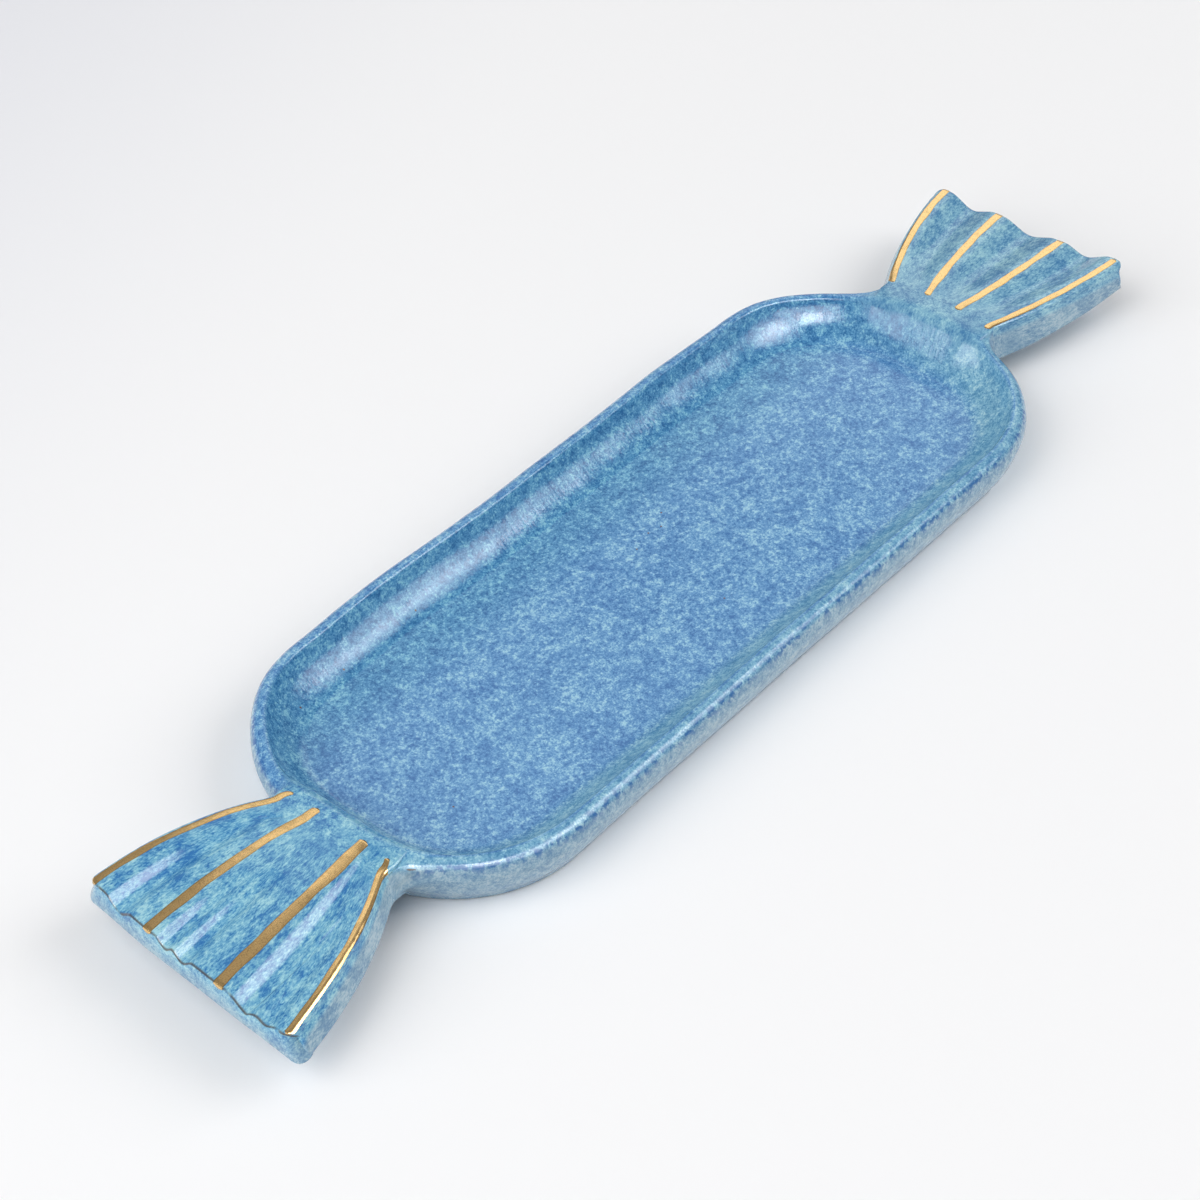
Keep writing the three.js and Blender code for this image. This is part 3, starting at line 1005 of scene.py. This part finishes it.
# Weights of the noises in the mottle, and what is taken off; a pair is for the dish and the tails
FLECK_WEIGHT = 2.6
GRAIN_WEIGHT = 2.2
PATCH_WEIGHT = 1.1
BLOTCH_WEIGHTS = (0.3, 1.5)
MOTTLE_DROPS = (2.6, 3.2)

# Limits of a noise, height or edge, and the shares or roughness that they turn into
DASH_SPAN = (0.47, 0.57, 0.0, 0.9)
WEAR_SPAN = (0.36, 0.5, 0.0, 0.85)
BARE_SPAN = (0.25, 0.05)
THIN_SPAN = (1.0, 1.35)
SPECKLE_SPAN = (0.46, 0.7, 0.0, 0.4)
GLAZE_ROUGH_SPAN = (0.0, 1.0, 0.08, 0.16)
GOLD_ROUGH_SPAN = (0.3, 0.7, 0.12, 0.24)

# Finish and relief; a bump is its strength and its depth in metres
CLAY_ROUGHNESS = 0.85
GLAZE_IOR = 1.52
RUN_STRETCH = (1.0, 1.0, 0.5)
RUN_RELIEF = 3.2
GRAIN_RELIEF = 0.5
GLAZE_BUMP = (0.8, 0.00004)
HAIR_STRETCH = (0.12, 1.0, 0.0)
HAIR_REACH = 0.5
THIN_SHARE = 0.8
GOLD_BUMP = (0.5, 0.00003)


def specked(s, place):
    """Share of the small iron specks, by the distance in plan to the nearest."""
    flat = s.vector("MULTIPLY", place, IN_PLAN)
    nearest = SPECK_RADIUS
    for x, y in SPECKS:
        nearest = s.math("MINIMUM", nearest, s.vector("DISTANCE", flat, (x, y, 0.0), "Value"))
    return s.remap(nearest, SPECK_RADIUS, SPECK_RADIUS * FULL_PART)


def broken(s, place):
    """Share of the hair lines where the glaze breaks over an edge: thin lenses about short strokes."""
    wander = s.node("ShaderNodeTexNoise", {"Vector": place, **BREAK_WANDER_NOISE}).outputs["Color"]
    shift = s.vector("MULTIPLY", s.vector("SUBTRACT", wander, NOISE_MIDDLE), BREAK_WANDER)
    strayed = s.vector("ADD", place, shift)
    nearest = BREAK_SPREAD
    for start, end in BREAKS:
        span = (Vector(end) - Vector(start)).length
        to_start, to_end = (s.vector("DISTANCE", strayed, point, "Value") for point in (start, end))
        reach = s.math("ADD", to_start, to_end)
        nearest = s.math("MINIMUM", nearest, s.math("SUBTRACT", reach, span))
    return s.remap(nearest, BREAK_SPREAD, BREAK_SPREAD * FULL_PART)


def glaze_zones(s):
    """Places in millimetres on the glaze, the way it flowed, and the weights of its zones."""
    place = s.vector("MULTIPLY", s.node("ShaderNodeTexCoord", {}).outputs["Object"], (1 / MM,) * 3)
    axes = s.node("ShaderNodeSeparateXYZ", {0: place}).outputs
    zone = s.attribute("zone")
    weights = s.node("ShaderNodeSeparateColor", {"Color": zone.outputs["Color"]}).outputs
    tail = zone.outputs["Alpha"]
    return {
        "place": place,
        "along": axes["X"],
        "across": axes["Y"],
        "height": axes["Z"],
        "flow": s.attribute("flow").outputs["Vector"],
        "streaky_and_sheen": weights[0],
        "shoulder": weights[1],
        "outer": weights[2],
        "tail": tail,
        "dish": s.math("SUBTRACT", 1.0, tail),
    }


def mottled(s, zones, fleck, grain):
    """The mottle of the glaze, from dark at 0 to pale at 1."""
    tail = zones["tail"]
    mottle = s.math("MULTIPLY_ADD", fleck, FLECK_WEIGHT, s.math("MULTIPLY", grain, GRAIN_WEIGHT))
    mottle = s.math("MULTIPLY_ADD", s.noise(zones["place"], *PATCH), PATCH_WEIGHT, mottle)
    blotch = s.noise(zones["place"], *BLOTCH)
    mottle = s.math("MULTIPLY_ADD", blotch, s.blend(tail, *BLOTCH_WEIGHTS), mottle)
    return s.math("SUBTRACT", mottle, s.blend(tail, *MOTTLE_DROPS))


def glaze_colour(s, zones, mottle):
    """Blues by zone, darker towards the foot of the +Y wall, with painted sheen towards -Y on the inner
    wall and rim, a painted reflection of the floor on the outer faces and painted shade on the far tail;
    dark dashes on the rim, brown breaks and specks.
    """
    place, tail, across = zones["place"], zones["tail"], zones["across"]
    deep = s.remap(zones["height"], RIM_HEIGHT, FLOOR_HEIGHT)
    # Darker towards the foot of the +Y wall, where the floor takes the wall blues
    left_darkened = s.math("MULTIPLY", s.remap(across, *LEFT_DARK_SPAN), deep)
    # Painted sheen: the inner wall and rim turn paler towards -Y
    wall_blues = [s.ramp(mottle, stops) for stops in (WALL_STOPS, SHEEN_WALL_STOPS)]
    walls = s.tint(s.remap(across, *SHEEN_SPAN), *wall_blues)
    inside = s.tint(s.math("MAXIMUM", zones["streaky_and_sheen"], left_darkened), s.ramp(mottle, FLOOR_STOPS), walls)
    # Painted shade: the far tail takes the duller copy of the tail blues
    tail_blues = [s.ramp(mottle, stops) for stops in (TAIL_STOPS, SHADED_FAR_TAIL_STOPS)]
    tails = s.tint(s.remap(zones["along"], *FAR_SPAN), *tail_blues)
    colour = s.tint(tail, inside, tails)
    # Painted reflection of the pale floor on the outer faces
    colour = s.tint(zones["outer"], colour, s.ramp(mottle, OUTER_SHEEN_STOPS))
    dashed = s.remap(s.noise(place, *DASH), *DASH_SPAN)
    dark = s.math("MULTIPLY", s.math("MULTIPLY", zones["shoulder"], zones["dish"]), dashed)
    colour = s.tint(dark, colour, SHOULDER_BLUE)
    worn = s.remap(s.noise(place, *WEAR), *WEAR_SPAN)
    bared = s.math("MULTIPLY", s.math("MULTIPLY", zones["shoulder"], tail), worn)
    colour = s.tint(bared, colour, BREAK_BROWN)
    colour = s.tint(broken(s, place), colour, BREAK_BROWN)
    return s.tint(specked(s, place), colour, SPECK_BROWN)


def glaze_relief(s, zones, fleck, grain):
    """Height of the glaze's surface: fine all over, with runs down the inner wall."""
    runs = s.noise(s.vector("MULTIPLY", zones["flow"], RUN_STRETCH), *RUN)
    walled = s.math("MULTIPLY", zones["streaky_and_sheen"], zones["dish"])
    relief = s.math("MULTIPLY", runs, s.math("MULTIPLY", walled, RUN_RELIEF))
    return s.math("ADD", relief, s.math("MULTIPLY_ADD", grain, GRAIN_RELIEF, fleck))


def make_glaze():
    """Mottled blue glaze: flecked on the dish, streaked along the tails, bare clay on the base."""
    s = Shader("mottled_blue_glaze")
    zones = glaze_zones(s)
    place, flow = zones["place"], zones["flow"]
    fanned = s.math("MULTIPLY", zones["streaky_and_sheen"], zones["tail"])
    fleck = s.blend(fanned, s.noise(place, *DISH_FLECK), s.noise(flow, *TAIL_FLECK))
    grain = s.blend(fanned, s.noise(place, *DISH_GRAIN), s.noise(flow, *TAIL_GRAIN))
    mottle = mottled(s, zones, fleck, grain)
    bare = s.remap(zones["height"], *BARE_SPAN)
    principled = {
        "Base Color": s.tint(bare, glaze_colour(s, zones, mottle), CLAY),
        "Roughness": s.blend(bare, s.remap(mottle, *GLAZE_ROUGH_SPAN), CLAY_ROUGHNESS),
        "IOR": GLAZE_IOR,
        "Normal": s.bump(glaze_relief(s, zones, fleck, grain), *GLAZE_BUMP),
    }
    return s.finish(s.node("ShaderNodeBsdfPrincipled", principled))


def make_gold():
    """Brushed gold lustre, thin and brown where the brush ran dry at its edges."""
    s = Shader("brushed_gold_lustre")
    brush = s.attribute("brush").outputs["Vector"]
    axes = s.node("ShaderNodeSeparateXYZ", {0: brush}).outputs
    edge = s.math("DIVIDE", s.math("ABSOLUTE", axes["Y"]), axes["Z"])
    hairs = s.noise(s.vector("MULTIPLY", brush, HAIR_STRETCH), *HAIR)
    thin = s.remap(s.math("MULTIPLY_ADD", hairs, HAIR_REACH, edge), *THIN_SPAN)
    speckled = s.remap(s.noise(brush, *GOLD_SPECKLE), *SPECKLE_SPAN)
    dulled = s.math("MAXIMUM", speckled, s.math("MULTIPLY", thin, THIN_SHARE))
    principled = {
        "Base Color": s.tint(dulled, GOLD, GOLD_THIN),
        "Metallic": 1.0,
        "Roughness": s.remap(s.noise(brush, *GOLD_PATCH), *GOLD_ROUGH_SPAN),
        "Normal": s.bump(hairs, *GOLD_BUMP),
    }
    return s.finish(s.node("ShaderNodeBsdfPrincipled", principled))


# Stage

CAMERA_AZIMUTH = math.radians(-140.46)
CAMERA_ELEVATION = math.radians(42.95)
CAMERA_ROLL = math.radians(0.48)
CAMERA_DISTANCE = 0.8453
CAMERA_TARGET = Vector((-0.03036, -0.0009, 0.019))
CAMERA_LENS = 86.21
SENSOR_WIDTH = 36.0
FLOOR_REACH = 4.0
FLOOR_WHITE = srgb(250, 250, 251)
FLOOR_SHADE = srgb(235, 236, 241)
FLOOR_SHADE_WAY = (-0.35, 0.94, 0.0)
FLOOR_SHADE_SPAN = (0.12, 0.42)

# Softboxes, by where they lie from the middle of the dish in degrees and metres
SHINES = (
    {"azimuth": -57, "elevation": 45, "distance": 0.92, "size": (0.46, 0.2), "radiance": 7.2},
    {"azimuth": -55, "elevation": 31, "distance": 0.92, "size": (0.5, 0.22), "radiance": 3.4},
    {"azimuth": -57, "elevation": 58, "distance": 0.92, "size": (0.46, 0.2), "radiance": 3.6},
    {"azimuth": -118, "elevation": 38, "distance": 3.0, "size": (3.2, 1.8), "radiance": 4.5},
    {"azimuth": -76, "elevation": 45, "distance": 3.0, "size": (1.3, 1.1), "radiance": 5.2},
    {"azimuth": -122, "elevation": 43, "distance": 3.0, "size": (0.9, 0.8), "radiance": 12.0},
    {"azimuth": 164, "elevation": 22, "distance": 3.0, "size": (1.2, 0.6), "radiance": 4.4},
    {"azimuth": 26, "elevation": 29, "distance": 3.0, "size": (1.6, 1.2), "radiance": 0.95},
    {"azimuth": 38, "elevation": 49, "distance": 3.0, "size": (1.3, 0.6), "radiance": 0.75},
    {"azimuth": 60, "elevation": 58, "distance": 3.0, "size": (0.9, 0.6), "radiance": 0.1},
    {"azimuth": 60, "elevation": 31, "distance": 3.0, "size": (0.9, 0.6), "radiance": 0.38},
)
FILLS = (
    {"azimuth": -40, "elevation": 38, "distance": 3.0, "size": (2.2, 2.2), "radiance": 2.63},
    {"azimuth": 163, "elevation": 35, "distance": 3.0, "size": (2.6, 2.6), "radiance": 2.35},
    {"azimuth": -175, "elevation": 60, "distance": 3.0, "size": (2.2, 2.2), "radiance": 1.48},
)
SKY_COLOUR = (1.0, 1.0, 1.0, 1.0)
SKY_LEVEL = 0.29


def direction(azimuth, elevation):
    """A unit vector towards an azimuth from +X and an elevation."""
    return Vector(
        (
            math.cos(elevation) * math.cos(azimuth),
            math.cos(elevation) * math.sin(azimuth),
            math.sin(elevation),
        )
    )


def make_camera():
    back = direction(CAMERA_AZIMUTH, CAMERA_ELEVATION)
    right = Vector((0, 0, 1)).cross(back).normalized()
    up = back.cross(right)
    turn = Matrix((right, up, back)).transposed().to_4x4() @ Matrix.Rotation(CAMERA_ROLL, 4, "Z")
    data = bpy.data.cameras.new("camera")
    data.lens = CAMERA_LENS
    data.sensor_width = SENSOR_WIDTH
    camera = bpy.data.objects.new("camera", data)
    camera.matrix_world = Matrix.Translation(CAMERA_TARGET + back * CAMERA_DISTANCE) @ turn
    bpy.context.scene.collection.objects.link(camera)
    bpy.context.scene.camera = camera


def make_floor():
    mesh = bpy.data.meshes.new("floor")
    corners = [(x * FLOOR_REACH, y * FLOOR_REACH, 0.0) for x, y in ((-1, -1), (1, -1), (1, 1), (-1, 1))]
    mesh.from_pydata(corners, [], [(0, 1, 2, 3)])
    s = Shader("pale_floor")
    place = s.node("ShaderNodeTexCoord", {}).outputs["Object"]
    along = s.vector("DOT_PRODUCT", place, FLOOR_SHADE_WAY, "Value")
    colour = s.tint(s.remap(along, *FLOOR_SHADE_SPAN), FLOOR_WHITE, FLOOR_SHADE)
    mesh.materials.append(s.finish(s.node("ShaderNodeBsdfDiffuse", {"Color": colour})))
    floor = bpy.data.objects.new("floor", mesh)
    bpy.context.scene.collection.objects.link(floor)


def make_softbox(name, box):
    towards = direction(math.radians(box["azimuth"]), math.radians(box["elevation"]))
    width, height = box["size"]
    data = bpy.data.lights.new(name, "AREA")
    data.shape = "RECTANGLE"
    data.size = width
    data.size_y = height
    data.energy = box["radiance"] * math.pi * width * height
    light = bpy.data.objects.new(name, data)
    light.location = towards * box["distance"]
    light.rotation_euler = towards.to_track_quat("Z", "Y").to_euler()
    bpy.context.scene.collection.objects.link(light)
    return light


def make_lights():
    """Softboxes that are only mirrored in the glaze and gold, and softboxes that only light."""
    for number, box in enumerate(SHINES, 1):
        make_softbox(f"shine_{number}", box).visible_diffuse = False
    for number, box in enumerate(FILLS, 1):
        make_softbox(f"fill_{number}", box).visible_glossy = False


def make_world():
    """Soft light all round."""
    world = bpy.data.worlds.new("studio")
    world.use_nodes = True
    tree = world.node_tree
    tree.nodes.clear()
    sky = tree.nodes.new("ShaderNodeBackground")
    output = tree.nodes.new("ShaderNodeOutputWorld")
    sky.inputs["Color"].default_value = SKY_COLOUR
    sky.inputs["Strength"].default_value = SKY_LEVEL
    tree.links.new(sky.outputs[0], output.inputs["Surface"])
    bpy.context.scene.world = world


def dress(piece, material, slot, *nodes):
    """Gives a piece its material, hangs it on the root body and hides the solids that it stands for."""
    piece.data.materials.append(material)
    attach(piece, "root")
    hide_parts(*nodes)


noise.seed_set(HAND_SEED)
make_camera()
make_floor()
make_lights()
make_world()
bpy.context.scene.view_settings.view_transform = "Standard"

glaze = make_glaze()
gold = make_gold()
dress(make_dish("glazed_dish"), glaze, "dish_glaze", "dish")
for side, tail in TAILS.items():
    dress(make_tail(f"glazed_{side}_tail", tail), glaze, "tail_glaze", f"{side}_tail")
    for ridge in range(len(tail["lengths"])):
        line = make_line(f"brushed_line_{side}_{ridge + 1}", tail, ridge)
        dress(line, gold, "gold_lustre", f"gold_line_{side}_{ridge + 1}")
